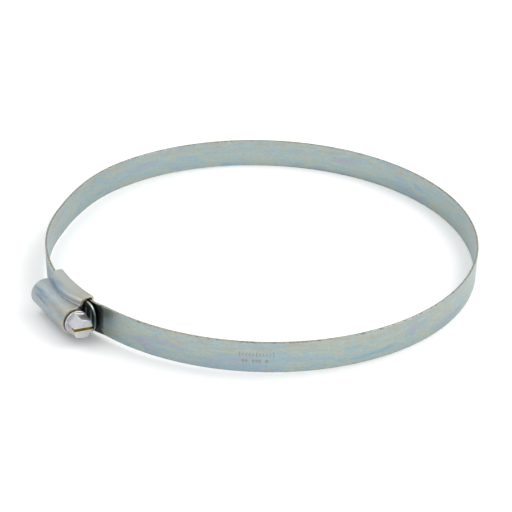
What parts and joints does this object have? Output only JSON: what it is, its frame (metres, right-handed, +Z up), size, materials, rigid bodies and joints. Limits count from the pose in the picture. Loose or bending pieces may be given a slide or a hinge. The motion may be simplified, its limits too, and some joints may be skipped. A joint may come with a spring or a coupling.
{
  "type": "worm-drive hose clip",
  "caption": "Worm-drive hose clip: a steel band loop, a pressed housing and a slotted hexagon screw whose thread draws the band tail through to tighten the loop.",
  "frame": {"origin": "under the middle of the bounding box, on the surface the clip lies on", "axes": "+Z up along the loop axis, +X along the screw towards its head, housing on the -Y side of the loop"},
  "size_m": [0.167, 0.1784, 0.0146],
  "materials": {
    "zinc_band": "zinc-plated and passivated, satin, with faint iridescent patches",
    "zinc_housing": "zinc-plated and passivated, satin, bluish",
    "zinc_screw": "zinc-plated and passivated, satin to bright"
  },
  "bodies": {
    "housing_and_fixed_end": {"housing": "zinc_housing", "band_fixed_end": "zinc_band"},
    "screw": {"worm_screw": "zinc_screw"},
    "tail": {"band_tail": "zinc_band"},
    "arc_01": {"band_arc_01": "zinc_band"},
    "arc_02": {"band_arc_02": "zinc_band"},
    "arc_03": {"band_arc_03": "zinc_band"},
    "arc_04": {"band_arc_04": "zinc_band"},
    "arc_05": {"band_arc_05": "zinc_band"},
    "arc_06": {"band_arc_06": "zinc_band"},
    "arc_07": {"band_arc_07": "zinc_band"},
    "arc_08": {"band_arc_08": "zinc_band"},
    "arc_09": {"band_arc_09": "zinc_band"},
    "arc_10": {"band_arc_10": "zinc_band"},
    "arc_11": {"band_arc_11": "zinc_band"},
    "arc_12": {"band_arc_12": "zinc_band"}
  },
  "joints": [
    {"name": "screw_turn", "type": "hinge", "parent": "housing_and_fixed_end", "child": "screw", "pos_m": [0, -0.08392, 0.0073], "axis": [-1, 0, 0], "range_deg": [-1440, 6480]},
    {"name": "tail_travel", "type": "hinge", "parent": "housing_and_fixed_end", "child": "tail", "pos_m": [0.0017, -0.00128, 0.0073], "axis": [0, 0, 1], "range_deg": [-8.3, 37]},
    {"name": "bend_01", "type": "hinge", "parent": "housing_and_fixed_end", "child": "arc_01", "pos_m": [0.02487, -0.07315, 0.0073], "axis": [0, 0, 1], "range_deg": [-0.77, 3.42]},
    {"name": "bend_02", "type": "hinge", "parent": "arc_01", "child": "arc_02", "pos_m": [0.05596, -0.05517, 0.0073], "axis": [0, 0, 1], "range_deg": [-0.75, 3.36]},
    {"name": "bend_03", "type": "hinge", "parent": "arc_02", "child": "arc_03", "pos_m": [0.0765, -0.0257, 0.0073], "axis": [0, 0, 1], "range_deg": [-0.72, 3.2]},
    {"name": "bend_04", "type": "hinge", "parent": "arc_03", "child": "arc_04", "pos_m": [0.0826, 0.00969, 0.0073], "axis": [0, 0, 1], "range_deg": [-0.67, 3]},
    {"name": "bend_05", "type": "hinge", "parent": "arc_04", "child": "arc_05", "pos_m": [0.07313, 0.04434, 0.0073], "axis": [0, 0, 1], "range_deg": [-0.62, 2.77]},
    {"name": "bend_06", "type": "hinge", "parent": "arc_05", "child": "arc_06", "pos_m": [0.04987, 0.0717, 0.0073], "axis": [0, 0, 1], "range_deg": [-0.58, 2.57]},
    {"name": "bend_07", "type": "hinge", "parent": "arc_06", "child": "arc_07", "pos_m": [0.01719, 0.08662, 0.0073], "axis": [0, 0, 1], "range_deg": [-0.55, 2.43]},
    {"name": "bend_13", "type": "hinge", "parent": "tail", "child": "arc_12", "pos_m": [-0.05414, -0.05547, 0.0073], "axis": [0, 0, -1], "range_deg": [-0.72, 3.21]},
    {"name": "bend_12", "type": "hinge", "parent": "arc_12", "child": "arc_11", "pos_m": [-0.07559, -0.02701, 0.0073], "axis": [0, 0, -1], "range_deg": [-0.67, 3]},
    {"name": "bend_11", "type": "hinge", "parent": "arc_11", "child": "arc_10", "pos_m": [-0.08267, 0.00813, 0.0073], "axis": [0, 0, -1], "range_deg": [-0.62, 2.77]},
    {"name": "bend_10", "type": "hinge", "parent": "arc_10", "child": "arc_09", "pos_m": [-0.07385, 0.04295, 0.0073], "axis": [0, 0, -1], "range_deg": [-0.58, 2.57]},
    {"name": "bend_09", "type": "hinge", "parent": "arc_09", "child": "arc_08", "pos_m": [-0.0511, 0.07075, 0.0073], "axis": [0, 0, -1], "range_deg": [-0.55, 2.43]}
  ],
  "couplings": [
    {"joint": "tail_travel", "follows": "screw_turn", "ratio": 0.0056864},
    {"joint": "bend_01", "follows": "screw_turn", "ratio": 0.00052529},
    {"joint": "bend_02", "follows": "screw_turn", "ratio": 0.00051499},
    {"joint": "bend_03", "follows": "screw_turn", "ratio": 0.00049148},
    {"joint": "bend_04", "follows": "screw_turn", "ratio": 0.00045919},
    {"joint": "bend_05", "follows": "screw_turn", "ratio": 0.00042423},
    {"joint": "bend_06", "follows": "screw_turn", "ratio": 0.00039317},
    {"joint": "bend_07", "follows": "screw_turn", "ratio": 0.00037188},
    {"joint": "bend_13", "follows": "screw_turn", "ratio": 0.00049185},
    {"joint": "bend_12", "follows": "screw_turn", "ratio": 0.00045965},
    {"joint": "bend_11", "follows": "screw_turn", "ratio": 0.00042467},
    {"joint": "bend_10", "follows": "screw_turn", "ratio": 0.00039352},
    {"joint": "bend_09", "follows": "screw_turn", "ratio": 0.00037208}
  ]
}
